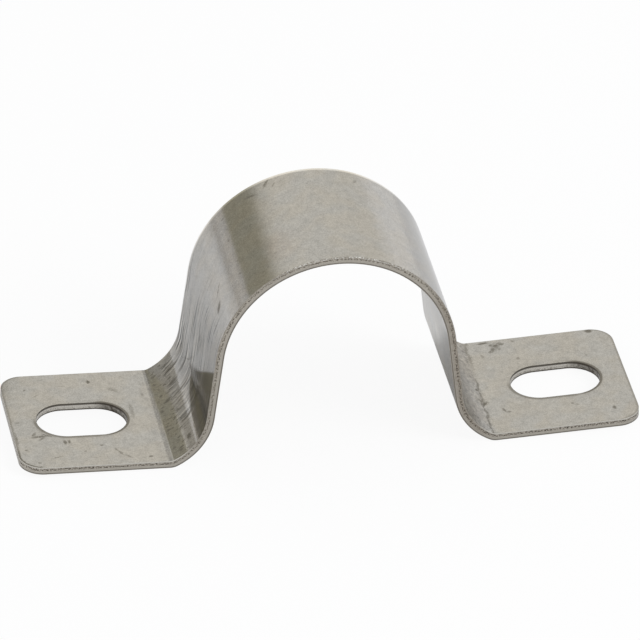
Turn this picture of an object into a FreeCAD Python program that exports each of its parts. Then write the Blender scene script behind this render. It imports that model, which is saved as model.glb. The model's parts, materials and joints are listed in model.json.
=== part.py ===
# Conduit strap: a two-hole saddle strap folded from one strip of stainless steel sheet.
#
# Millimetres, +Z up. The origin is on the mounting surface, under the middle of the arch.
# +X runs along the strap from ear to ear, and +Y runs along the conduit that it holds.
import FreeCAD, Part
import math
import os

# Driving dimensions
strip_width = 20.0
sheet = 0.95
overall_length = 74.2

# The saddle is an arc that sits on a 26.7 mm conduit. Its centre is lower than its radius,
# so the conduit stands a little proud of the base and the screws draw the strap down on it.
saddle_radius = 13.4
saddle_height = 12.9
saddle_half_angle = math.radians(82.9)

# Each leg leaves the arc on its tangent and sweeps out over a wide die nose. The die's
# corner then sets a tight crease where the ear begins. Both radii are of the upper surface.
foot_radius = 7.0
crease_radius = 1.0
crease_angle = math.radians(27.0)

# After folding the ear springs back: its end stands off the base until the screw pulls it down.
ear_rise = math.radians(2.1)
ear_corner_radius = 2.75

# The slots are cut straight down, along the screws.
slot_spacing = 57.0
slot_length = 10.8
slot_width = 7.0

# Blanking draws the sheet's edge over on the side where the punch enters: the inside of
# the strap all round its outline, and the top of the ears round the slots.
edge_roll = 0.15

# Arc centres of the foot. The crease's lowest line touches the base. The sweep meets the
# crease at crease_angle, and the leg is the common tangent of the saddle and the sweep.
crease_under = crease_radius + sheet
foot_under = foot_radius + sheet
foot_height = crease_under + (foot_under - crease_under) * math.cos(crease_angle)
leg_drop = saddle_height - foot_height + (saddle_radius + foot_under) * math.cos(saddle_half_angle)
leg_length = leg_drop / math.sin(saddle_half_angle)
foot_x = (saddle_radius + foot_under) * math.sin(saddle_half_angle) + leg_length * math.cos(saddle_half_angle)
crease_x = foot_x - (foot_under - crease_under) * math.sin(crease_angle)

# The ear runs from the crease to the overall length, along its rise.
ear_root_x = crease_x + crease_under * math.sin(ear_rise)
ear_length = (overall_length / 2 - ear_root_x) / math.cos(ear_rise)


def section_point(x, z):
    """A point of the strap's section, which lies in the plane y = -strip_width / 2."""
    return FreeCAD.Vector(x, -strip_width / 2, z)


def half_surface(offset):
    """Points of one surface on the +X side, from the crown to the ear's end.

    offset is 0 for the inner surface, which meets the conduit, and sheet for the outer one.
    """
    arch = saddle_radius + offset

    def on_foot(angle):
        radius = foot_under - offset
        return (foot_x - radius * math.sin(angle), foot_height - radius * math.cos(angle))

    def on_crease(angle):
        radius = crease_under - offset
        return (crease_x - radius * math.sin(angle), crease_under - radius * math.cos(angle))

    ear_root = on_crease(-ear_rise)
    return {
        "crown": (0, saddle_height + arch),
        "leg_top": (arch * math.sin(saddle_half_angle), saddle_height + arch * math.cos(saddle_half_angle)),
        "leg_foot": on_foot(saddle_half_angle),
        "foot_middle": on_foot((saddle_half_angle + crease_angle) / 2),
        "crease_start": on_foot(crease_angle),
        "crease_middle": on_crease((crease_angle - ear_rise) / 2),
        "ear_root": ear_root,
        "ear_end": (
            ear_root[0] + ear_length * math.cos(ear_rise),
            ear_root[1] + ear_length * math.sin(ear_rise),
        ),
    }


def surface_edges(offset):
    """Edges of one surface from the -X ear's end, over the arch, to the +X ear's end."""
    half = half_surface(offset)

    def ear_to_leg(side):
        at = {name: section_point(side * x, z) for name, (x, z) in half.items()}
        return [
            Part.LineSegment(at["ear_end"], at["ear_root"]).toShape(),
            Part.Arc(at["ear_root"], at["crease_middle"], at["crease_start"]).toShape(),
            Part.Arc(at["crease_start"], at["foot_middle"], at["leg_foot"]).toShape(),
            Part.LineSegment(at["leg_foot"], at["leg_top"]).toShape(),
        ]

    x, z = half["leg_top"]
    saddle = Part.Arc(section_point(-x, z), section_point(*half["crown"]), section_point(x, z))
    return ear_to_leg(-1) + [saddle.toShape()] + ear_to_leg(1)


def end_edge(side):
    """The sheared end of the ear on side -1 or +1, square to the sheet."""
    inner_x, inner_z = half_surface(0)["ear_end"]
    outer_x, outer_z = half_surface(sheet)["ear_end"]
    inner = section_point(side * inner_x, inner_z)
    outer = section_point(side * outer_x, outer_z)
    return Part.LineSegment(inner, outer).toShape()


def folded_strip():
    """The strip after folding, with square ear corners and no slots."""
    outline = surface_edges(0) + [end_edge(1)] + surface_edges(sheet) + [end_edge(-1)]
    section = Part.Face(Part.Wire(Part.__sortEdges__(outline)))
    return section.extrude(FreeCAD.Vector(0, strip_width, 0))


def round_ear_corners(strap):
    """Round the four corners of the ears, through the sheet."""
    near_end = half_surface(sheet)["ear_end"][0] - sheet
    corners = [
        edge
        for edge in strap.Edges
        if edge.Length < 2 * sheet and all(abs(vertex.X) > near_end for vertex in edge.Vertexes)
    ]
    return strap.makeFillet(ear_corner_radius, corners)


def slot_cutter(x):
    """A prism with the slot's rounded outline, standing through the ear at x."""
    end = slot_length / 2
    radius = slot_width / 2
    straight = end - radius

    def at(along, across):
        return FreeCAD.Vector(x + along, across, -sheet)

    outline = [
        Part.LineSegment(at(-straight, -radius), at(straight, -radius)).toShape(),
        Part.Arc(at(straight, -radius), at(end, 0), at(straight, radius)).toShape(),
        Part.LineSegment(at(straight, radius), at(-straight, radius)).toShape(),
        Part.Arc(at(-straight, radius), at(-end, 0), at(-straight, -radius)).toShape(),
    ]
    return Part.Face(Part.Wire(outline)).extrude(FreeCAD.Vector(0, 0, 4 * sheet))


def roll_outline(strap):
    """Roll the inner edge over. The fillet follows its tangents all round the outline."""
    saddle_edges = [
        edge
        for edge in strap.Edges
        if isinstance(edge.Curve, Part.Circle) and abs(edge.Curve.Radius - saddle_radius) < 1e-6
    ]
    return strap.makeFillet(edge_roll, saddle_edges)


def roll_slots(strap):
    """Roll the upper rims of the slots over."""
    rims = []
    for edge in strap.Edges:
        middle = edge.CenterOfMass
        along = abs(abs(middle.x) - slot_spacing / 2)
        ear_middle = sheet / 2 + (abs(middle.x) - ear_root_x) * math.tan(ear_rise)
        on_slot = along < slot_length / 2 + edge_roll and abs(middle.y) < slot_width / 2 + edge_roll
        if on_slot and middle.z > ear_middle + sheet / 4:
            rims.append(edge)
    return strap.makeFillet(edge_roll, rims)


strap = round_ear_corners(folded_strip())
for side in (-1, 1):
    strap = strap.cut(slot_cutter(side * slot_spacing / 2))
strap = roll_slots(roll_outline(strap))

os.makedirs("parts", exist_ok=True)
strap.exportStep("parts/strap.step")

box = strap.optimalBoundingBox()
print("valid", strap.isValid(), "solids", len(strap.Solids), "faces", len(strap.Faces))
print("volume mm3", round(strap.Volume, 1))
print("x", round(box.XMin, 3), round(box.XMax, 3))
print("y", round(box.YMin, 3), round(box.YMax, 3))
print("z", round(box.ZMin, 3), round(box.ZMax, 3))
print("ear root x", round(ear_root_x, 3), "leg length", round(leg_length, 3))
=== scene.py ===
# %% [markdown]
# # A conduit strap, folded from stainless sheet
# A strap like this holds a conduit against a wall. It is one strip of sheet: blanked, pierced
# with two slots, and folded over a former. The CAD model holds its real shape and size. This
# file gives it the look of the real thing: its sheared edges, its rolled finish and the marks
# that the folding tool left. It starts with the CAD model, because every size comes from there.

# %% Load the CAD model
import json
import math

import bmesh
import bpy
from mathutils import Matrix, Vector


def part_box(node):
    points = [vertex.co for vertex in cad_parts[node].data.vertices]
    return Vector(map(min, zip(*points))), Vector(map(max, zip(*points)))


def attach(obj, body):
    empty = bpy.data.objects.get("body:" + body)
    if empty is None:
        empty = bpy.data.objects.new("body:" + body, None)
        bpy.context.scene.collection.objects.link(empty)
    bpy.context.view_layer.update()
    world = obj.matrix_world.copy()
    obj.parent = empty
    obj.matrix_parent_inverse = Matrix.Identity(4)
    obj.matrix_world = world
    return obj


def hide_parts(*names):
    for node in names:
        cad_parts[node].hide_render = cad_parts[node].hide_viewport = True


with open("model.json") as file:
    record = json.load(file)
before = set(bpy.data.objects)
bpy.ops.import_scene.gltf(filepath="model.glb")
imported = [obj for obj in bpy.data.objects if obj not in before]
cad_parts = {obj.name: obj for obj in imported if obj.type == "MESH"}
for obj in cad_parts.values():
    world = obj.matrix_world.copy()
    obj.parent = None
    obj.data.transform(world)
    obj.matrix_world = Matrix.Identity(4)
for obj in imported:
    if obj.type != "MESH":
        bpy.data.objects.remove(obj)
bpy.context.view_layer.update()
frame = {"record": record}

MM = 0.001

# %% [markdown]
# ## Sizes
# The CAD record says where the strap meets other things: the conduit's radius and centre, the
# screws' spacing, and the slope of each ear's base. The strip's own width and thickness follow
# from the model's box. Only the sizes that neither one states are repeated from the CAD source.

# %% Read the strap's sizes
mounts = {mount["name"]: mount for mount in frame["record"]["mounts"]}
low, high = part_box("strap")

SADDLE_RADIUS = mounts["saddle"]["dims"]["r_mm"] * MM
SADDLE_HEIGHT = mounts["saddle"]["pos_m"][2]
SLOT_CENTRE = mounts["screw_slots"]["dims"]["spacing_x_mm"] / 2 * MM
SLOT_RADIUS = mounts["screw_slots"]["dims"]["hole_r_mm"] * MM
SLOT_STRAIGHT = mounts["screw_slots"]["dims"]["slot_length_mm"] / 2 * MM - SLOT_RADIUS
EAR_RISE = math.asin(mounts["right_ear_base"]["axis"][0])
STRIP_WIDTH = high.y - low.y
SHEET = high.z - SADDLE_HEIGHT - SADDLE_RADIUS
REACH = high.x

SADDLE_HALF_ANGLE = math.radians(82.9)
FOOT_RADIUS = 7.0 * MM
CREASE_RADIUS = 1.0 * MM
CREASE_ANGLE = math.radians(27.0)
EAR_CORNER_RADIUS = 2.75 * MM
EDGE_ROLL = 0.15 * MM

print("sheet", round(SHEET / MM, 3), "mm; width", round(STRIP_WIDTH / MM, 2), "mm")

# %% [markdown]
# ## The strip as a chain of stretches
# A folder thinks of a strip as a chain of straight and curved stretches, measured along the
# middle of the sheet, because the middle keeps its length when the sheet is bent. From the
# crown outwards the chain is the arch, the leg, the wide foot, the tight crease and the ear.
# Each stretch has a length and a turn. A turn is positive where the strip bends down.

# %% Work out the stretches
arch_middle = SADDLE_RADIUS + SHEET / 2
foot_middle = FOOT_RADIUS + SHEET / 2
crease_middle = CREASE_RADIUS + SHEET / 2
crease_height = CREASE_RADIUS + SHEET
crown_height = SADDLE_HEIGHT + arch_middle

fall = crown_height - (crease_height - crease_middle * math.cos(EAR_RISE))
fall -= arch_middle * (1 - math.cos(SADDLE_HALF_ANGLE))
fall -= foot_middle * (math.cos(CREASE_ANGLE) - math.cos(SADDLE_HALF_ANGLE))
fall -= crease_middle * (math.cos(EAR_RISE) - math.cos(CREASE_ANGLE))
leg_length = fall / math.sin(SADDLE_HALF_ANGLE)

foot_turn = SADDLE_HALF_ANGLE - CREASE_ANGLE
crease_turn = CREASE_ANGLE + EAR_RISE
BENT_STRETCHES = [
    (arch_middle * SADDLE_HALF_ANGLE, SADDLE_HALF_ANGLE),
    (leg_length, 0.0),
    (foot_middle * foot_turn, -foot_turn),
    (crease_middle * crease_turn, -crease_turn),
]
EAR_ROOT = sum(length for length, turn in BENT_STRETCHES)
print("leg", round(leg_length / MM, 2), "mm; the ear starts", round(EAR_ROOT / MM, 2), "mm out")

# %% [markdown]
# ## A walk along the strip
# To find where a point of the flat blank goes, walk along the stretches from the crown until
# its distance is used up. A straight stretch moves the walker on, and a round one turns them
# too. The point then steps off the middle of the sheet, by its height above it. The same walk
# says how far out on the blank the slots and the ends must lie.

# %% Find where a flat point goes
def folded(flat):
    """Where a point of the flat blank goes: x along the strip, y across it, z through the sheet."""
    side = math.copysign(1, flat.x)
    to_walk = abs(flat.x)
    x, z, slope = 0.0, crown_height, 0.0
    for length, turn in BENT_STRETCHES + [(math.inf, 0.0)]:
        step = min(to_walk, length)
        if turn:
            radius = length / turn
            turned = slope + step / radius
            x += radius * (math.sin(turned) - math.sin(slope))
            z += radius * (math.cos(turned) - math.cos(slope))
            slope = turned
        else:
            x += step * math.cos(slope)
            z -= step * math.sin(slope)
        to_walk -= step
    return Vector((side * (x + flat.z * math.sin(slope)), flat.y, z + flat.z * math.cos(slope)))


# The ear is straight, so flat lengths on it follow from the places of its root and its end.
root = folded(Vector((EAR_ROOT, 0, 0)))
under_root = folded(Vector((EAR_ROOT, 0, -SHEET / 2)))
HALF_BLANK = EAR_ROOT + (REACH - under_root.x) / math.cos(EAR_RISE)
FLAT_SLOT = EAR_ROOT + (SLOT_CENTRE - root.x) / math.cos(EAR_RISE)
print("slot", round(FLAT_SLOT / MM, 2), "mm out; the blank ends at", round(HALF_BLANK / MM, 2))

# %% [markdown]
# ## The blank's outline
# The blank is the same on both sides of its two middle lines, so a quarter of it is enough to
# draw. A quarter also turns the slot into a notch, which leaves one plain outline with no hole
# in it. The outline is drawn as a pen would: a straight run extrudes the last point, and a
# round one spins it about the arc's centre.

# %% Make a pen
ARC_STEPS = 14
WELD = 0.001 * MM


class Pen:
    """Draws an outline in a bmesh, edge by edge."""

    def __init__(self, mesh, start):
        self.mesh = mesh
        self.tip = bmesh.ops.create_vert(mesh, co=start)["vert"][0]

    def run(self, x, y):
        grown = bmesh.ops.extrude_vert_indiv(self.mesh, verts=[self.tip])
        self.tip = grown["verts"][0]
        self.tip.co = (x, y, 0)

    def arc(self, x, y, turn):
        """Spins the tip about (x, y); turn is in degrees, and positive to the left."""
        spun = bmesh.ops.spin(
            self.mesh, geom=[self.tip], cent=(x, y, 0), axis=(0, 0, 1),
            angle=math.radians(turn), steps=ARC_STEPS, use_merge=False, use_duplicate=False,
        )
        self.tip = spun["geom_last"][0]


print("an arc is drawn in", ARC_STEPS, "steps")

# %% [markdown]
# ## A quarter of the blank
# The pen starts at the crown, on the strip's middle line. It follows the line, goes round half
# of the slot, and follows the line again to the ear's end. Then it rounds the ear's corner and
# comes back along the strip's edge. One face fills the closed outline.

# %% Draw a quarter of the blank
half_width = STRIP_WIDTH / 2
corner_x = HALF_BLANK - EAR_CORNER_RADIUS
corner_y = half_width - EAR_CORNER_RADIUS

blank = bmesh.new()
pen = Pen(blank, (0, 0, 0))
pen.run(FLAT_SLOT - SLOT_STRAIGHT - SLOT_RADIUS, 0)
pen.arc(FLAT_SLOT - SLOT_STRAIGHT, 0, -90)
pen.run(FLAT_SLOT + SLOT_STRAIGHT, SLOT_RADIUS)
pen.arc(FLAT_SLOT + SLOT_STRAIGHT, 0, -90)
pen.run(HALF_BLANK, 0)
pen.run(HALF_BLANK, corner_y)
pen.arc(corner_x, corner_y, 90)
pen.run(0, half_width)
pen.run(0, 0)
bmesh.ops.remove_doubles(blank, verts=blank.verts[:], dist=WELD)
bmesh.ops.contextual_create(blank, geom=blank.edges[:])
print("quarter outline:", len(blank.verts), "points,", len(blank.faces), "face")

# %% [markdown]
# ## Columns where the sheet bends
# A flat face can't bend, so the blank needs a column of cuts wherever it will curve. Bisecting
# it with planes puts the cuts exactly at the ends of each stretch and at even angles between
# them. Two degrees a column keeps the arch's outline round at any close view. The ears stay
# flat, so they only need a few cuts, which keep their faces simple round the slots.

# %% Cut the columns
DEGREES_PER_COLUMN = 2.0
FEWEST_COLUMNS = 4
BEFORE_SLOT = 1.5 * SLOT_RADIUS
ON_PLANE = 0.002 * MM


def column_places():
    """The flat x of each cut, from the crown to the ear's end."""
    start = 0.0
    for length, turn in BENT_STRETCHES:
        steps = max(FEWEST_COLUMNS, round(abs(math.degrees(turn)) / DEGREES_PER_COLUMN))
        for step in range(1, steps + 1):
            yield start + length * step / steps
        start += length
    for reach in (-1, 0, 1):
        yield FLAT_SLOT + reach * SLOT_STRAIGHT
    yield FLAT_SLOT - SLOT_STRAIGHT - BEFORE_SLOT
    yield corner_x


def cut(mesh, place, normal):
    everything = mesh.verts[:] + mesh.edges[:] + mesh.faces[:]
    bmesh.ops.bisect_plane(mesh, geom=everything, dist=ON_PLANE, plane_co=place, plane_no=normal)


for x in column_places():
    cut(blank, (x, 0, 0), (1, 0, 0))
for y in (SLOT_RADIUS, corner_y):
    cut(blank, (0, y, 0), (0, 1, 0))
print("quarter:", len(blank.faces), "faces")

# %% [markdown]
# ## The whole blank
# Two mirrors make the whole blank: the first across the long middle line, and the second across
# the crown. A mirror can turn faces over, so their normals are worked out again, facing up.

# %% Mirror the quarter
for axis in "YX":
    everything = blank.verts[:] + blank.edges[:] + blank.faces[:]
    bmesh.ops.mirror(
        blank, geom=everything, matrix=Matrix.Identity(4), merge_dist=WELD, axis=axis
    )
bmesh.ops.recalc_face_normals(blank, faces=blank.faces[:])
if blank.faces[0].normal.z < 0:
    bmesh.ops.reverse_faces(blank, faces=blank.faces[:])
print("flat blank:", len(blank.faces), "faces")

# %% [markdown]
# ## Thickness
# Extruding the flat blank gives it the sheet's thickness. Half of it goes above the middle and
# half below, because the strip is measured along the middle of the sheet.

# %% Thicken the blank
bottom = blank.faces[:]
raised = bmesh.ops.extrude_face_region(blank, geom=bottom)["geom"]
raised_verts = [part for part in raised if isinstance(part, bmesh.types.BMVert)]
bmesh.ops.translate(blank, verts=blank.verts[:], vec=(0, 0, -SHEET / 2))
bmesh.ops.translate(blank, verts=raised_verts, vec=(0, 0, SHEET))
bmesh.ops.recalc_face_normals(blank, faces=blank.faces[:])
print("blank with thickness:", len(blank.faces), "faces")

# %% [markdown]
# ## Rolled edges
# A shear or a punch draws the sheet's edge over on the side where it enters and breaks it away
# on the other, so one rim of every cut is round and the other is sharp. Here the strap's
# outline was cut from the inside, and its slots from the top. The bevel follows the rims while
# the blank is still flat, because there every cut stands straight up, and is easy to pick out.
# The sharp rims get a very small bevel too, because no real edge is perfectly sharp.

# %% Roll the edges
BURR = 0.03 * MM
AROUND_SLOT = 1.1 * SLOT_RADIUS
UPRIGHT, FLAT = 0.1, 0.9


def near_slot(point):
    beside = abs(abs(point.x) - FLAT_SLOT) < SLOT_STRAIGHT + AROUND_SLOT
    return beside and abs(point.y) < AROUND_SLOT


def rims(mesh, punched):
    """The edges between a flat face and a cut, on the punched side of each cut or the far one."""
    found = []
    for edge in mesh.edges:
        middle = (edge.verts[0].co + edge.verts[1].co) / 2
        levels = [abs(face.normal.z) for face in edge.link_faces]
        is_rim = min(levels) < UPRIGHT and max(levels) > FLAT
        on_punched_side = (middle.z > 0) == near_slot(middle)
        if is_rim and on_punched_side == punched:
            found.append(edge)
    return found


def bevel(mesh, edges, size, segments):
    bmesh.ops.bevel(
        mesh, geom=edges, offset=size, offset_type="OFFSET", segments=segments,
        profile=0.5, affect="EDGES", material=-1, clamp_overlap=True,
    )


bevel(blank, rims(blank, punched=True), EDGE_ROLL, segments=4)
bevel(blank, rims(blank, punched=False), BURR, segments=1)
print("blank with edges:", len(blank.faces), "faces")

# %% [markdown]
# ## Fold the strip
# Before folding, each point writes down where it lies on the flat blank. Grain, scratches and
# tool marks were all made on the sheet, so the finishes read that note, and their patterns
# follow every bend. The three kinds of surface are told apart here too: outside, inside and
# the cut edges. Then each point moves to its folded place.

# %% Fold the blank into a strap
OUTSIDE, INSIDE, CUT = 0, 1, 2
QUITE_FLAT = 0.99
SHARP = math.radians(40)

for face in blank.faces:
    face.smooth = True
    if abs(face.normal.z) < QUITE_FLAT:
        face.material_index = CUT
    else:
        face.material_index = OUTSIDE if face.normal.z > 0 else INSIDE

on_blank = blank.verts.layers.float_vector.new("blank")
for vert in blank.verts:
    vert[on_blank] = vert.co
    vert.co = folded(vert.co)
for edge in blank.edges:
    edge.smooth = edge.calc_face_angle(0) < SHARP

strap_mesh = bpy.data.meshes.new("folded_strap")
blank.to_mesh(strap_mesh)
blank.free()
strap = bpy.data.objects.new("folded_strap", strap_mesh)
bpy.context.scene.collection.objects.link(strap)
shading = strap.modifiers.new("flat faces stay flat", "WEIGHTED_NORMAL")
shading.keep_sharp = True
print("strap:", len(strap_mesh.polygons), "faces")

# %% [markdown]
# ## A small language for finishes
# A finish is a sum of patterns, and a sum reads best as one. `Value` wraps a socket of the node
# tree, so that Python's own operators add the Math nodes. Every node comes from `Value.new`,
# which sets the node's settings first and its sockets afterwards. Colours and vectors go
# through Mix and Vector Math nodes, because a Math node would turn a colour grey.

# %% Wrap sockets as values
class Value:
    def __init__(self, socket):
        self.socket = socket

    @staticmethod
    def new(tree, kind, settings=(), sockets=(), output=0):
        """Adds a node to a tree. Sockets may hold plain values or other values."""
        node = tree.nodes.new("ShaderNode" + kind)
        for name, setting in dict(settings).items():
            setattr(node, name, setting)
        for name, value in dict(sockets).items():
            socket = node.inputs[name]
            if isinstance(value, Value):
                tree.links.new(value.socket, socket)
            else:
                socket.default_value = value
        return Value(node.outputs[output])

    def node(self, kind, settings, sockets, output=0):
        """Adds a node to this value's own tree."""
        return Value.new(self.socket.id_data, kind, settings, sockets, output)

    def maths(self, operation, *others):
        return self.node("Math", {"operation": operation}, dict(enumerate((self, *others))))

    def __add__(self, other):
        return self.maths("ADD", other)

    def __sub__(self, other):
        return self.maths("SUBTRACT", other)

    def __rsub__(self, other):
        return (self * -1.0) + other

    def __mul__(self, other):
        return self.maths("MULTIPLY", other)

    def __abs__(self):
        return self.maths("ABSOLUTE")

    __radd__ = __add__
    __rmul__ = __mul__

    def at_least(self, other):
        return self.maths("MAXIMUM", other)

    def fade(self, start, end):
        """0 up to start and 1 from end, with a smooth change between; start may be above end."""
        sockets = {"Value": self, "From Min": min(start, end), "From Max": max(start, end)}
        if start > end:
            sockets.update({"To Min": 1.0, "To Max": 0.0})
        return self.node("MapRange", {"interpolation_type": "SMOOTHSTEP"}, sockets)

    def within(self, start, end, edge):
        """1 between start and end, and 0 beyond them, with a soft edge of the given width."""
        half = edge / 2
        return self.fade(start - half, start + half) * self.fade(end + half, end - half)

    def noise(self, scale, detail=2.0, roughness=0.5):
        """Noise about 0, from -1 to 1, on this vector."""
        sockets = {"Vector": self, "Scale": scale, "Detail": detail, "Roughness": roughness}
        return self.node("TexNoise", {}, sockets) * 2.0 - 1.0

    def stretched(self, along, across, through=1.0):
        """This vector with its three parts scaled."""
        scale = Vector((along, across, through))
        return self.node("VectorMath", {"operation": "MULTIPLY"}, {0: self, 1: scale})

    def wandering(self, scale, amount):
        """This vector, pushed about by noise, so that what is drawn on it gets ragged outlines."""
        sockets = {"Vector": self, "Scale": scale, "Detail": 3.0}
        pushes = self.node("TexNoise", {}, sockets, output="Color")
        middle = (0.5, 0.5, 0.5)
        centred = self.node("VectorMath", {"operation": "SUBTRACT"}, {0: pushes, 1: middle})
        sockets = {0: centred, 1: (2 * amount, 2 * amount, 0), 2: self}
        return self.node("VectorMath", {"operation": "MULTIPLY_ADD"}, sockets)

    def part(self, axis):
        """One of this vector's three parts."""
        return self.node("SeparateXYZ", {}, {"Vector": self}, output="XYZ".index(axis))

    def mix(self, start, end):
        """The colour that this value picks between two colours, which may be values too."""
        sockets = {"Factor": self, 6: start, 7: end}
        return self.node("Mix", {"data_type": "RGBA"}, sockets, output=2)


print("a value can:", ", ".join(name for name in vars(Value) if not name.startswith("_")))

# %% [markdown]
# ## A bare material
# Each finish of the strap starts the same way: a metallic shader, and the note that every point
# of the mesh carries about its place on the flat blank. The note is turned into millimetres,
# so that every pattern and every mark can be given in millimetres too.

# %% Start a finish
def new_finish(name):
    """A material, its shader, and the place on the flat blank in millimetres."""
    material = bpy.data.materials.new(name)
    material.use_nodes = True
    tree = material.node_tree
    shader = tree.nodes["Principled BSDF"]
    shader.inputs["Metallic"].default_value = 1.0
    note = Value.new(tree, "Attribute", {"attribute_name": "blank"}, output="Vector")
    place = note.stretched(1 / MM, 1 / MM, 1 / MM)
    return material, shader, place


def link(value, shader, name):
    value.socket.id_data.links.new(value.socket, shader.inputs[name])


def wear(finish):
    """Gives the strap its next finish. They go on in the order of OUTSIDE, INSIDE and CUT."""
    strap_mesh.materials.append(finish)
    print(finish.name, "is made of", len(finish.node_tree.nodes), "nodes")


note = strap_mesh.attributes["blank"]
print("the note:", note.name, "on", len(note.data), "points")

# %% [markdown]
# ## The sheet's own finish
# Mill-finish stainless is satin rather than mirror bright, and it is mottled at every scale:
# broad clouds, patches of about a millimetre, and grain finer than that. All three are added
# up into one tone, which brightens or darkens the steel by a few parts in a hundred. The same
# patches tilt the surface a very little, so a reflection's edge wavers.

# %% Make the rolled finish
STEEL = (0.498, 0.484, 0.458, 1.0)
STEEL_WARM = (0.507, 0.480, 0.436, 1.0)
GRAZING = (0.80, 0.80, 0.80, 1.0)
ROUGHNESS = 0.10
CLOUD_TONE, PATCH_TONE, GRAIN_TONE = 0.02, 0.25, 0.38


def bare_sheet(place):
    """The steel's two colours in clouds, how bright it is from place to place, and its patches."""
    clouds = place.noise(0.30, detail=2.0)
    patches = place.noise(1.3, detail=4.0, roughness=0.65)
    grain = place.stretched(1.5, 1.0).noise(5.0, detail=2.0, roughness=0.6)
    steel = clouds.fade(-0.3, 0.3).mix(STEEL, STEEL_WARM)
    tone = clouds * CLOUD_TONE + patches * PATCH_TONE + grain * GRAIN_TONE
    return steel, tone, patches


def shaded(colour, tone):
    """A colour made brighter where the tone is above 0 and darker where it is below."""
    return tone.node("VectorMath", {"operation": "SCALE"}, {0: colour, "Scale": 1 + tone})


print("steel", STEEL[:3], "to", STEEL_WARM[:3], "at roughness", ROUGHNESS)

# %% [markdown]
# ## Marks
# The strap has been handled, so its outside carries pits, scuffs and scratches. Each mark is an
# ellipse on the flat blank: where it lies along and across the strip, how long and wide it is,
# and how far it is turned. All in millimetres and degrees, from the crown, so that a mark can
# be found with a ruler. A Mapping node turns the ellipse into a circle, and a round gradient
# fills it. Each hands its vector straight on, so dozens of marks fit into what a material may
# hold at once. Noise pushes the outlines about, and no mark is a clean oval.

# %% Draw an ellipse on the blank
# A mark's rim is soft, so it is drawn larger by this much, and is whole from this height of
# the gradient.
SOFT_RIM = 1.35
WHOLE_FROM = 2 / 3


def ellipse(place, along, across, length, width, turn=0.0):
    """1 inside an ellipse on the blank, fading to 0 outside it."""
    local = place.node("Mapping", {"vector_type": "TEXTURE"}, {
        "Vector": place,
        "Location": (along, across, 0.0),
        "Rotation": (0.0, 0.0, math.radians(turn)),
        "Scale": (length / 2 * SOFT_RIM, width / 2 * SOFT_RIM, 1.0),
    })
    dome = local.node("TexGradient", {"gradient_type": "SPHERICAL"}, {"Vector": local}, output=1)
    return dome.fade(0.0, WHOLE_FROM)


def all_marks(place, marks):
    """The strongest of a list of marks: (strength, ellipse numbers)."""
    strongest = None
    for strength, *oval in marks:
        mark = ellipse(place, *oval) * strength
        strongest = mark if strongest is None else strongest.at_least(mark)
    return strongest


print("a mark 1 mm wide is whole over", round(SOFT_RIM * (1 - WHOLE_FROM), 2), "mm of it")

# %% [markdown]
# ## Pits
# A pit is a small dark speck, where grit was pressed into the sheet. The first number of each
# is its strength. Several that overlap make one larger crumb.

# %% List the pits
PITS = [
    # left ear
    (1.0, -43.4, 8.0, 0.45, 0.80),
    (0.7, -51.2, 6.9, 0.35, 0.30),
    (0.6, -53.1, -0.1, 0.60, 0.25),
    (0.9, -48.1, -4.8, 0.45, 0.95),
    (0.9, -47.6, -4.7, 0.35, 0.75),
    (0.8, -43.9, -5.8, 0.45, 0.35),
    (0.6, -46.0, -6.9, 0.35, 0.25),
    (0.6, -52.9, -6.1, 0.35, 0.30),
    (0.6, -51.7, -8.9, 0.50, 0.40),
    (0.8, -38.5, -8.7, 0.60, 0.35, 35),
    # left leg and foot
    (1.0, -16.1, -5.2, 1.70, 0.75, 58),
    (0.9, -32.8, -7.6, 0.80, 1.20),
    (0.8, -34.4, -8.8, 0.50, 0.45),
    # right ear
    (0.6, 42.1, 9.3, 0.50, 0.35),
    (0.6, 42.0, 5.5, 0.45, 0.60),
    (0.5, 50.1, 4.5, 0.35, 0.35),
    (0.9, 51.1, -7.3, 0.50, 0.80),
    (0.7, 46.4, -5.4, 0.45, 0.40),
    (1.0, 36.1, -3.5, 1.1, 0.55, 35),
    (0.9, 35.5, -0.6, 0.50, 0.60),
    (1.0, 38.5, 9.5, 1.40, 0.40, 5),
    (1.0, 39.9, 8.7, 0.70, 0.60, 30),
    (0.9, 40.6, 8.9, 0.80, 0.35, 15),
    (0.9, 39.4, 8.0, 0.50, 0.65, -20),
    (0.8, 39.3, 8.9, 0.45, 0.45),
    (0.7, 40.2, 7.9, 0.45, 0.35),
    (0.8, 38.2, -5.2, 0.38, 1.00, 20),
    (0.7, 38.7, -5.7, 0.65, 0.34),
    (1.0, 51.4, 9.65, 1.00, 0.80),
]
print(len(PITS), "pits")

# %% [markdown]
# ## Scuffs
# A scuff is longer and thinner than a pit, because something slid over the sheet. The list has
# the same form as the pits' list. The finish breaks scuffs up more than it does pits.

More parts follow.
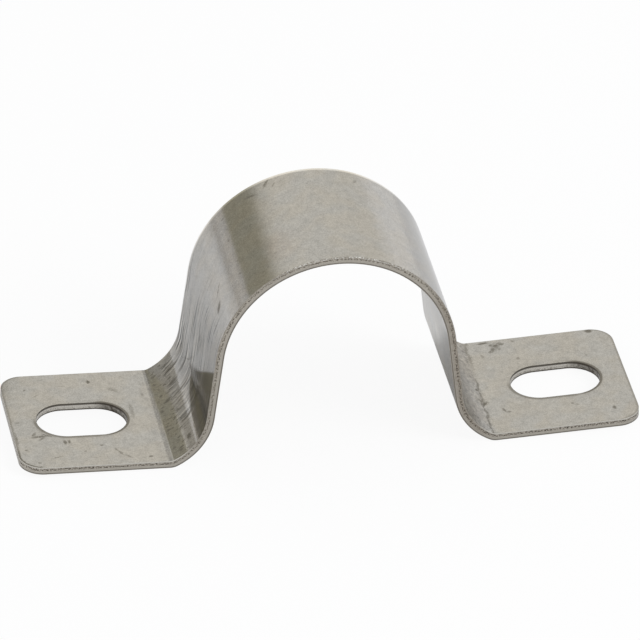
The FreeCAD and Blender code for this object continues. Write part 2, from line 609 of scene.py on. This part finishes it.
# %% List the scuffs
SCUFFS = [
    # left ear: a scratched patch before the slot, and three scratches by the front corner
    (0.9, -51.5, -2.8, 1.1, 0.40, 60),
    (1.0, -50.9, -3.3, 2.0, 0.50, 8),
    (0.9, -50.0, -3.1, 1.5, 0.35, -30),
    (0.8, -50.7, -3.8, 1.2, 0.30, 40),
    (0.7, -42.3, -6.9, 0.9, 0.30, -60),
    (0.9, -41.9, -7.6, 0.9, 0.35, -70),
    (0.7, -41.0, -8.5, 1.0, 0.30, -45),
    (0.6, -49.4, -7.9, 1.6, 0.25, 20),
    (0.5, -45.2, -8.3, 1.2, 0.22, -15),
    (0.5, -50.2, 5.4, 1.4, 0.22, 35),
    (0.4, -47.0, 7.4, 2.2, 0.20, -12),
    (0.5, -40.7, 6.0, 1.9, 0.70, -40),
    (0.8, -53.7, -3.6, 0.35, 2.80),
    (0.5, -37.4, 4.6, 0.35, 0.90),
    (0.8, -15.2, -2.5, 2.2, 0.25, 50),
    (0.6, -39.2, 1.4, 0.6, 3.20),
    # where the left bend meets the arch, and near the crown at the back
    (0.6, -11.5, 7.7, 0.5, 0.30, 30),
    (0.5, -11.3, 5.2, 0.4, 0.30, -20),
    (0.6, -11.6, 3.0, 0.5, 0.25, 40),
    (0.5, -11.3, -1.9, 0.4, 0.35),
    (0.6, -11.5, -4.4, 0.5, 0.25, -30),
    (0.6, -7.9, -7.2, 0.35, 0.5),
    (0.5, -6.6, -5.4, 0.5, 0.35),
    (0.5, -8.4, 2.6, 0.4, 0.4),
    (1.0, -7.4, 8.0, 1.6, 0.50, -20),
    (0.9, -5.2, 9.0, 1.5, 0.40, 60),
    (0.6, -4.4, 8.2, 0.9, 0.25, 60),
    (0.6, 5.1, 7.8, 1.1, 0.30, 60),
    # right ear: a dirty patch by the back edge, and what the folding blade left at the root
    (0.7, 39.8, 8.5, 1.1, 1.80, -20),
    (0.9, 39.2, 7.6, 1.1, 0.60, 40),
    (0.9, 40.4, 9.1, 0.9, 0.60),
    (1.0, 36.1, -3.5, 1.5, 0.65, 35),
    (0.8, 35.4, -2.9, 0.9, 0.35, -40),
    (0.6, 37.9, 6.7, 0.35, 1.00, 20),
    (0.5, 46.9, -5.8, 0.7, 0.40),
]
print(len(SCUFFS), "scuffs")

# %% [markdown]
# ## Galling
# Pressing the left foot into its radius rubbed the sheet hard against the die. Metal picked up
# by the die ploughed long streaks along the strip, which is called galling. The deepest ones
# are listed like the other marks. The many fine ones between them come from noise that is
# stretched along the strip.

# %% List the deep streaks
GALLING = [
    (1.0, -32.4, 7.1, 3.4, 0.75, -4),
    (0.8, -28.4, 7.2, 6.5, 0.42, -6),
    (1.0, -32.7, 4.4, 2.4, 0.80, 4),
    (0.9, -29.6, 4.6, 4.0, 0.60, -2),
    (0.9, -24.2, 3.6, 4.6, 0.50, -3),
    (0.6, -28.1, 3.2, 5.6, 0.32, -57),
    (1.0, -31.4, 1.6, 5.0, 0.50, 2),
    (0.8, -32.4, 0.5, 2.4, 0.35, -3),
    (0.9, -32.6, -0.3, 2.4, 0.40),
    (0.8, -32.6, -1.7, 2.6, 0.35),
    (1.0, -32.0, -4.0, 3.0, 0.55, 4),
    (0.8, -28.0, -4.1, 5.0, 0.45, -3),
    (0.6, -24.4, -4.7, 2.4, 0.40, -4),
    (0.7, -22.9, -0.5, 1.4, 0.70, -30),
]
print(len(GALLING), "deep streaks")

# %% [markdown]
# ## What the folding tool did, with painted shade and highlights
# The fine streaks start just above the left crease and run out up the leg. The die's edge
# crushed a band at that crease and left short dashes in it. Painted highlights make lighter
# lines across the strip at the foot and at the arch's shoulder, and a lighter band beside the
# shoulder's line, and painted shade darkens the left crease and the ear's root beyond it. On the
# right the blade left a broken dark line along the crease, and a rough, mottled foot. Each of
# these is a stretch of the strip, so it is given by where it starts and ends, in millimetres
# from the crown, and the left is negative.

# %% Draw the tool's marks
STREAKS_START, STREAKS_END = (-34.2, -33.4), (-17.0, -26.0)
CRUSHED, DASHED = (-36.7, -33.7), (-35.6, -32.8)
# The crease and ear-root stretches are painted shade; the foot's line and the shoulder's band and
# line are painted highlights.
CREASE_SHADE, EAR_SHADE = (-36.6, -35.95), (-37.6, -36.75)
FOOT_HIGHLIGHT, SHOULDER_PAINTED_LIGHT, SHOULDER_HIGHLIGHT = (-31.62, -31.4), (-15.4, -13.7), (-12.5, -11.7)
BLADE_LINE, BACK_LINE, RIGHT_FOOT = (35.60, 36.05), (36.1, 36.5), (31.0, 36.2)


def folding_marks(flat, along, across):
    """Dark marks from 0 to 1, a tone for the rubbed sheet with painted shade and highlights in it,
    and where the right foot is rough.
    """
    wavy = flat.wandering(0.16, 1.1).wandering(1.6, 0.09)
    streaks = all_marks(wavy, GALLING)
    lines = wavy.stretched(0.065, 2.4).noise(1.0, detail=5.0, roughness=0.6)
    harder = 1 + flat.stretched(1.0, 1.6).noise(0.30, detail=2.0) * 3.0
    crumbs = flat.noise(3.2, detail=4.0, roughness=0.7)
    ploughed = along.fade(*STREAKS_START) * (along + lines * 14.0).fade(*STREAKS_END)
    crushed = (along + crumbs * 0.3).within(*CRUSHED, 0.3)
    bent = flat.wandering(0.55, 0.8).part("X") + crumbs * 0.5
    blade_line = bent.within(*BLADE_LINE, 0.25) * crumbs.fade(-0.20, 0.02) * across.fade(3.0, 1.0)
    back_line = bent.within(*BACK_LINE, 0.3) * across.fade(4.5, 6.5) * 0.7

    dark = streaks.at_least((lines * harder).fade(0.14, 0.28) * ploughed * 0.45)
    dark = dark.at_least(crumbs.fade(0.12, 0.34) * crushed * 0.65)
    dashes = flat.wandering(1.5, 0.2).stretched(0.75, 1.7).noise(1.15, detail=2.0, roughness=0.6)
    dark = dark.at_least(dashes.fade(0.14, 0.21) * along.within(*DASHED, 0.4))
    dark = dark.at_least(blade_line).at_least(back_line)

    cleaner = 1 - across.fade(-3.0, -5.5) * along.fade(-21.0, -24.5) * 0.65
    contrast = 2.0 + along.fade(-31.5, -29.5) * 1.3
    tone = lines * ploughed * cleaner * harder * contrast - ploughed * 0.02
    # Painted shade: the left crease and the ear's root beside it are darkened.
    tone = tone - along.within(*CREASE_SHADE, 0.30) * 0.32 - along.within(*EAR_SHADE, 0.4) * 0.05
    tone = tone + crushed * crumbs * 0.35
    # Painted highlights: a lighter line on the foot, and a lighter band and line at the shoulder.
    tone = tone + along.within(*FOOT_HIGHLIGHT, 0.12) * across.fade(0.0, -3.0) * 0.35
    tone = tone + along.within(*SHOULDER_PAINTED_LIGHT, 0.5) * 0.07
    tone = tone + along.within(*SHOULDER_HIGHLIGHT, 0.35) * (0.09 + crumbs * 0.2)
    right_foot = along.within(*RIGHT_FOOT, 1.4)
    swirls = flat.wandering(0.8, 0.6).noise(1.7, detail=4.0, roughness=0.65)
    tone = tone - right_foot * (0.14 - crumbs * 0.5 - swirls * 0.7)
    return dark, tone, right_foot


print("the streaks run from", STREAKS_START[0], "to", STREAKS_END[0], "mm from the crown")

# %% [markdown]
# ## Grime and painted shade at the rims
# A punch leaves a lip round its slot, and grime stays beside it. How far a point is from the
# slot's rim is the distance to the line between the slot's two round ends, less the slot's
# radius. The lip is dark on the front side of each slot, and painted shade darkens it round its
# right end. A broken dark line also runs just inside the rim of each ear's end, and is darkest
# at the left ear's front corner.

# %% Draw the grime
def past_slot_middle(along):
    """How far a place lies to the right of its own slot's middle, in millimetres."""
    slot_middle = along.fade(-1.0, 1.0) * (FLAT_SLOT / MM * 2) - FLAT_SLOT / MM
    return along - slot_middle


def slot_lip_shade_and_grime(along, across, broken):
    """The dark lip of each slot, painted shade round its right end, and the thinner grime round it.
    """
    beside = (abs(abs(along) - FLAT_SLOT / MM) - SLOT_STRAIGHT / MM).at_least(0.0)
    from_slot = (beside * beside + across * across).maths("SQRT") - SLOT_RADIUS / MM
    right_end = past_slot_middle(along).fade(1.5, 3.2)
    ragged = from_slot + broken * 0.12
    front_lip = ragged.fade(0.52, 0.26) * across.fade(1.2, -0.6) * (1 - right_end) * 0.75
    # Round the slot's right end the dark lip is painted shade.
    lip = front_lip.at_least(ragged.fade(0.38, 0.22) * right_end)
    return lip.at_least(from_slot.fade(1.0, 0.2) * broken.fade(-0.1, 0.4) * 0.5)


def end_line(along, across, broken):
    """The dark line just inside the rim of each ear's end."""
    past_x = (abs(along) - corner_x / MM).at_least(0.0)
    past_y = (abs(across) - corner_y / MM).at_least(0.0)
    to_rim = (past_x * past_x + past_y * past_y).maths("SQRT") - EAR_CORNER_RADIUS / MM
    line = (to_rim + broken * 0.25).fade(-0.34, -0.16) * past_x.fade(0.0, 0.6)
    left_front = along.fade(-49.0, -52.0) * across.fade(-4.5, -7.5)
    return line * (0.45 + left_front * 0.55)


print("slots at", round(FLAT_SLOT / MM, 2), "mm; ears' corners from", round(corner_x / MM, 2), "mm")

# %% [markdown]
# ## The outside
# The outside takes every mark. A mark is darker and rougher than the sheet round it. A warm
# stain lies near the crown, the right foot is browner towards the back, and a painted highlight
# brightens a thin rim along the arch's back edge.

# %% Make the outside
MARK = (0.16, 0.145, 0.118, 1.0)
STAIN = (0.46, 0.39, 0.33, 1.0)
STAIN_PLACE = (-5.9, -4.4, 4.0, 6.0)
WORN_FOOT = (0.390, 0.355, 0.300, 1.0)
BACK_RIM_HIGHLIGHT = (half_width / MM - 0.50, half_width / MM - 0.22)
FINE_BUMP = 0.002 * MM


def outside_steel(name):
    material, shader, place = new_finish(name)
    flat = place.stretched(1.0, 1.0, 0.0)
    along, across = flat.part("X"), flat.part("Y")
    steel, bare, patches = bare_sheet(place)
    folded_dark, folded_tone, right_foot = folding_marks(flat, along, across)
    ragged = flat.wandering(3.5, 0.16)
    broken = flat.noise(4.5, detail=3.0, roughness=0.7)
    # The slots' dark lips with painted shade at their right ends, thin grime, and the ears' end
    # lines.
    rim_shade_and_grime = slot_lip_shade_and_grime(along, across, broken).at_least(end_line(along, across, broken))
    # A painted highlight along the arch's back rim.
    back_rim_highlight = across.fade(*BACK_RIM_HIGHLIGHT) * along.within(-30.0, 22.0, 3.0)
    pits = all_marks(ragged, PITS) * broken.fade(-0.60, -0.15)
    scuffs = all_marks(ragged, SCUFFS) * broken.fade(-0.40, 0.08)
    marks = pits.at_least(scuffs * 0.9).at_least(folded_dark * 0.8).at_least(rim_shade_and_grime)

    stain = ellipse(flat.wandering(0.6, 1.5), *STAIN_PLACE) * broken.fade(-0.6, 0.2)
    steel = (stain * 0.35).mix(steel, STAIN)
    steel = (right_foot * across.fade(-4.0, 4.0) * 0.45).mix(steel, WORN_FOOT)
    steel = shaded(steel, bare + folded_tone + back_rim_highlight * 0.75)
    link((marks * 0.85).mix(steel, MARK), shader, "Base Color")
    link(ROUGHNESS + marks * 0.2 + patches * 0.02 + right_foot * 0.22, shader, "Roughness")
    shader.inputs["Specular Tint"].default_value = GRAZING
    sockets = {"Strength": 1.0, "Distance": FINE_BUMP, "Height": patches}
    link(patches.node("Bump", {}, sockets), shader, "Normal")
    return material


wear(outside_steel("rolled_outside"))

# %% [markdown]
# ## The inside
# The inside has the sheet's own finish and faint lines along the strip, where the sheet was
# drawn over the former. Painted light makes it lighter below the arch, and most of all in a
# patch low on each leg.

# %% Make the inside
def inside_steel(name):
    material, shader, place = new_finish(name)
    steel, bare, patches = bare_sheet(place)
    lines = place.stretched(0.09, 2.0).noise(1.0, detail=5.0, roughness=0.65)
    from_crown = abs(place.part("X"))
    # Painted light: lighter below the arch, and lighter still in a patch low on each leg.
    painted_light_below_arch = from_crown.fade(20.0, 25.0) * 0.27
    painted_light_patch = from_crown.within(24.0, 30.0, 2.5) * place.part("Y").within(-3.4, 0.6, 2.0) * 0.30
    link(shaded(steel, bare + lines * 0.65 + painted_light_below_arch + painted_light_patch), shader, "Base Color")
    link(ROUGHNESS + 0.06 + lines * 0.04, shader, "Roughness")
    shader.inputs["Specular Tint"].default_value = GRAZING
    sockets = {"Strength": 1.0, "Distance": FINE_BUMP, "Height": patches + lines}
    link(patches.node("Bump", {}, sockets), shader, "Normal")
    return material


wear(inside_steel("rolled_inside"))

# %% [markdown]
# ## Sheared edges
# A cut through sheet has layers. Where the blade enters, the edge rolls over, and the roll is
# painted dark as painted shade. Below that comes a burnished band, which the blade wiped smooth.
# The rest tore, so it is dull and brown-grey with dark pockets and pale grit, up to a burr with
# painted glints, which are painted highlights, most of all near the crown and along the back.
# The layers run the other way in the slots, because they were punched from the other side. The
# right leg's edge is browner, and painted shade darkens each slot's right end.

# %% Make the sheared edge
BURNISHED = (0.420, 0.392, 0.345, 1.0)
TORN = (0.400, 0.366, 0.315, 1.0)
PUNCHED = (0.560, 0.535, 0.485, 1.0)
GRIT = (0.500, 0.470, 0.415, 1.0)
BROWN = (0.230, 0.195, 0.155, 1.0)
DARK_POCKET_AND_SHADE = (0.060, 0.050, 0.040, 1.0)
GLINT_HIGHLIGHT = (0.85, 0.84, 0.80, 1.0)
COARSE_BUMP = 0.03 * MM


def sheared_steel(name):
    material, shader, place = new_finish(name)
    x, y = place.part("X"), place.part("Y")
    in_slot = abs(y).fade(4.6, 4.4) * abs(x).fade(52.6, 52.4)
    deep = 0.5 + place.part("Z") * (1 - in_slot * 2) * (MM / SHEET)
    grain = place.noise(2.0, detail=4.0, roughness=0.7)
    crumbs = place.stretched(1.0, 1.0, 1.3).noise(4.4, detail=3.0, roughness=0.7)
    depth = deep + grain * 0.11
    torn = depth.fade(0.42, 0.56)
    on_ears = abs(x).fade(31.6, 35.4)
    pockets = depth.within(0.54, 0.83, 0.09) * crumbs.fade(-0.02, 0.10) * (0.82 + on_ears * 0.15)
    grit = depth.within(0.40, 0.92, 0.12) * crumbs.fade(-0.02, -0.15) * (1 - in_slot)
    # Painted shade: the rolled-over rim of each cut is darkened.
    roll_shade = deep.within(0.04, 0.19, 0.06).at_least(deep.fade(0.32, 0.22) * in_slot)
    rim = deep.fade(0.84, 0.93).at_least(deep.fade(0.74, 0.86) * in_slot)
    # Painted shade on each slot's wall round its right end.
    slot_end_shade = past_slot_middle(x).fade(1.5, 4.0) * in_slot
    near_crown = abs(x - 1.0).fade(11.0, 5.0)
    at_back = y.fade(9.0, 9.3)
    burr = rim.at_least(deep.fade(0.74, 0.84) * near_crown) * (1 - in_slot)
    # Painted highlights: glints on the burr, most of all near the crown, along the back and on the
    # ears.
    glint_spots = crumbs.fade(0.02, 0.14) * (0.25 + near_crown * 0.75)
    glints = burr * glint_spots.at_least(at_back * 0.9).at_least(on_ears * 0.55)
    right_leg = x.within(14.0, 35.0, 4.0) * deep.within(0.25, 0.9, 0.1)

    base = torn.mix(BURNISHED, TORN)
    base = in_slot.mix(base, PUNCHED)
    base = (grit * 0.8).mix(base, GRIT)
    base = (right_leg * (0.42 + grain * 0.9)).mix(base, BROWN)
    # One dark colour serves the real torn pockets and the painted shade in the roll, the rim and
    # the slots' right ends.
    base = (pockets * (1 - in_slot * 0.55)).mix(base, DARK_POCKET_AND_SHADE)
    base = (slot_end_shade * (0.72 + grain * 0.8)).mix(base, DARK_POCKET_AND_SHADE)
    base = (roll_shade * (0.65 + in_slot * 0.25)).mix(base, DARK_POCKET_AND_SHADE)
    base = (rim * (0.30 + in_slot * 0.6)).mix(base, DARK_POCKET_AND_SHADE)
    link(glints.mix(base, GLINT_HIGHLIGHT), shader, "Base Color")
    link(0.34 + torn * 0.12 - glints * 0.2, shader, "Roughness")
    sockets = {"Strength": 1.0, "Distance": COARSE_BUMP, "Height": grain + crumbs * 0.8}
    link(grain.node("Bump", {}, sockets), shader, "Normal")
    return material


wear(sheared_steel("sheared_edge"))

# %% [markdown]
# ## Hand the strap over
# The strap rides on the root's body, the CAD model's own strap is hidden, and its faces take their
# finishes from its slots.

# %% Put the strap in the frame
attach(strap, "root")
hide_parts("strap")
print(strap.name, "rides on the root and stands for the strap")

# %% [markdown]
# ## Studio
# Bare metal shows only what surrounds it, so the studio is built from plain flat panels: one
# for the floor, and the rest as cards. Each has its own material, which mixes simple shaders
# by a mask, such as which side is seen and what sees it. A few small helpers do that.

# %% Make what the studio needs
def flat_panel(name, width, depth, place=Matrix.Identity(4)):
    """A flat panel of the studio, made about the origin and moved to its place."""
    mesh = bpy.data.meshes.new(name)
    panel = bmesh.new()
    bmesh.ops.create_grid(panel, x_segments=1, y_segments=1, size=0.5)
    bmesh.ops.scale(panel, verts=panel.verts[:], vec=(width, depth, 1))
    bmesh.ops.transform(panel, verts=panel.verts[:], matrix=place)
    panel.to_mesh(mesh)
    panel.free()
    made = bpy.data.objects.new(name, mesh)
    bpy.context.scene.collection.objects.link(made)
    return made


def stage_tree(made):
    """A new material's node tree on a panel, with nothing in it but the output."""
    material = bpy.data.materials.new(made.name)
    material.use_nodes = True
    made.data.materials.append(material)
    material.node_tree.nodes.remove(material.node_tree.nodes["Principled BSDF"])
    return material.node_tree


def glow(tree, colour, strength=1.0):
    return Value.new(tree, "Emission", {}, {"Color": colour, "Strength": strength})


def choose(mask, first, second):
    """The shader that a mask picks: the first where it is 0, and the second where it is 1."""
    return mask.node("MixShader", {}, {0: mask, 1: first, 2: second})


def show(surface):
    """Links a finished shader to its own tree's output."""
    tree = surface.socket.id_data
    tree.links.new(surface.socket, tree.nodes["Material Output"].inputs["Surface"])


print("the studio's panels start as flat grids of one face")

# %% [markdown]
# ## Paper
# The floor is white paper, which the camera sees nearly white, with a faint shadow. The metal
# sees the same paper as it is lit, with the whole of the strap's shadow on it. Only metal that
# almost touches the paper sees it open and bright, so the ears' undersides don't turn black.
# From below, the paper is clear.

# %% Lay the paper
PAPER = (0.80, 0.805, 0.815, 1.0)
OPEN_PAPER = 1.05
SEEN_WHITE = 0.91
TOUCHING, CLEAR_OF_IT = 2 * MM, 6 * MM

floor = flat_panel("paper_floor", 6.0, 6.0)
tree = stage_tree(floor)
from_camera = Value.new(tree, "LightPath", output="Is Camera Ray")
from_metal = Value.new(tree, "LightPath", output="Is Glossy Ray")
distance = Value.new(tree, "LightPath", output="Ray Length")
from_below = Value.new(tree, "NewGeometry", output="Backfacing")

close = from_metal * distance.fade(CLEAR_OF_IT, TOUCHING)
lit_paper = Value.new(tree, "BsdfDiffuse", {}, {"Color": PAPER})
lit_paper = choose(close, lit_paper, glow(tree, PAPER, OPEN_PAPER))
paper = choose(from_camera * SEEN_WHITE, lit_paper, glow(tree, (1, 1, 1, 1)))
show(choose(from_below, paper, Value.new(tree, "BsdfTransparent")))
print("paper floor:", [round(side, 2) for side in floor.dimensions], "m")

# %% [markdown]
# ## Light
# The room's light is even and neutral, and the metal sees the room a little warmer and lighter
# than it shines. One large soft lamp on the right gives the strap its faint shadow. It is
# hidden from the metal, where it would show as a disc.

# %% Light the room
ROOM = (0.86, 0.85, 0.81, 1.0)
FILL = (0.80, 0.80, 0.80, 1.0)

world = bpy.data.worlds.new("pale_room")
bpy.context.scene.world = world
world.use_nodes = True
background = world.node_tree.nodes["Background"]
around = Value.new(world.node_tree, "LightPath", output="Is Glossy Ray").mix(FILL, ROOM)
seen = Value.new(world.node_tree, "LightPath", output="Is Camera Ray").mix(around, (1, 1, 1, 1))
link(seen, background, "Color")

lamp_data = bpy.data.lights.new("soft_lamp", "AREA")
lamp_data.shape = "DISK"
lamp_data.size = 0.45
lamp_data.energy = 2.9
lamp = bpy.data.objects.new("soft_lamp", lamp_data)
lamp.location = (0.50, -0.35, 0.45)
lamp.visible_glossy = False
lamp.rotation_euler = (-lamp.location).to_track_quat("-Z", "Y").to_euler()
bpy.context.scene.collection.objects.link(lamp)
print("lamp:", round(lamp_data.energy, 2), "W,", round(lamp.location.length, 2), "m away")

# %% [markdown]
# ## Cards
# A studio shapes metal with cards. A grey one stands behind the strap on the left, and a low
# one closer in, where both bends on that side catch them as a dark band with one crisp edge. A
# dim wall far behind tones down what lies between. A pale card stands on the right and
# brightens the other shoulder. Their edges fade where the reflection should be soft. Only the
# metal sees the cards, and only from in front. The smallest one slopes down to the paper like a
# lid, so the foot sees under it and the leg looks straight through. Each card has a twin, half
# a turn round the strap, which shapes it in the same way from behind.

# %% List the cards
GREY = (0.39, 0.377, 0.31)
# The lid card glows dimmer than the paper it covers, so the foot reflects a darker grey there.
LID_GREY = (0.45, 0.44, 0.41)
WALL = (0.60, 0.59, 0.575)
PALE = (1.0, 1.0, 1.0)

# Name, left, right, the (y, z) of the near and the far long edge in metres, colour, and fades.
# Each fade gives the height where the card has gone and the height where it is whole.
CARDS = [
    ("grey_card", -0.45, -0.03, (0.23, 0.165), (0.23, 0.0572), GREY, [(0.165, 0.115)]),
    ("low_grey_card", -0.20, -0.015, (0.12, 0.0815), (0.12, 0.050), GREY, [(0.0815, 0.072)]),
    ("foot_lid", -0.090, -0.020, (0.022, 0.0075), (0.045, 0.0), LID_GREY, []),
    ("back_wall", -0.90, -0.10, (0.60, 0.130), (0.60, 0.0), WALL, []),
    ("pale_card", 0.05, 0.40, (0.25, 0.115), (0.10, 0.0), PALE, [(0.108, 0.030), (0.0, 0.010)]),
]
print(len(CARDS), "cards:", ", ".join(numbers[0] for numbers in CARDS))

# %% [markdown]
# ## Standing the cards
# A card is a flat panel, sized to its two long edges, tilted to the slope between them and
# moved to its place, all in its mesh. It glows where it is seen from in front and is clear
# elsewhere. The camera, diffuse light and shadows pass it by.

# %% Stand the cards
def card(name, left, right, near, far, colour, fades, turn):
    """A glowing card that only the metal sees, turned about the strap by some degrees."""
    near, far = Vector(near), Vector(far)
    middle, slope = (near + far) / 2, near - far
    place = (
        Matrix.Rotation(math.radians(turn), 4, "Z")
        @ Matrix.Translation(((left + right) / 2, middle.x, middle.y))
        @ Matrix.Rotation(math.atan2(slope.y, slope.x), 4, "X")
    )
    made = flat_panel(name, right - left, slope.length, place)
    made.visible_camera = False
    made.visible_diffuse = False
    made.visible_shadow = False

    tree = stage_tree(made)
    shown = 1 - Value.new(tree, "NewGeometry", output="Backfacing")
    height = Value.new(tree, "TexCoord", output="Object").part("Z")
    for gone, whole in fades:
        shown = shown * height.fade(gone, whole)
    show(choose(shown, Value.new(tree, "BsdfTransparent"), glow(tree, (*colour, 1.0))))


for turn in (0, 180):
    for numbers in CARDS:
        card(*numbers, turn)
print(2 * len(CARDS), "cards stand round the strap")

# %% [markdown]
# ## Camera
# A long lens from about a metre away keeps both ears nearly the same size. The camera looks
# down on the strap from a little left of its front, so both slots and the inside of the arch
# are in view.

# %% Place the camera
AZIMUTH, ELEVATION, ROLL = math.radians(-10.86), math.radians(32.33), math.radians(-1.16)
TARGET = Vector((-0.12 * MM, 0, 12.4 * MM))
DISTANCE = 1.0028
LENS = 479.2

camera_data = bpy.data.cameras.new("camera")
camera_data.sensor_width = 36.0
camera_data.lens = LENS
camera_data.clip_end = 10.0
camera = bpy.data.objects.new("camera", camera_data)
aim = (
    Matrix.Rotation(AZIMUTH, 4, "Z")
    @ Matrix.Rotation(math.pi / 2 - ELEVATION, 4, "X")
    @ Matrix.Rotation(-ROLL, 4, "Z")
)
back = aim.to_3x3() @ Vector((0, 0, 1))
camera.matrix_world = Matrix.Translation(TARGET + back * DISTANCE) @ aim
bpy.context.scene.collection.objects.link(camera)
bpy.context.scene.camera = camera
bpy.context.scene.view_settings.view_transform = "Standard"
print("camera:", DISTANCE, "m away,", LENS, "mm lens")

# %% [markdown]
# ## Finish
# The dressed strap must stay inside the CAD model's box. Here the scene is only brought up to date.

# %% Update the scene
bpy.context.view_layer.update()
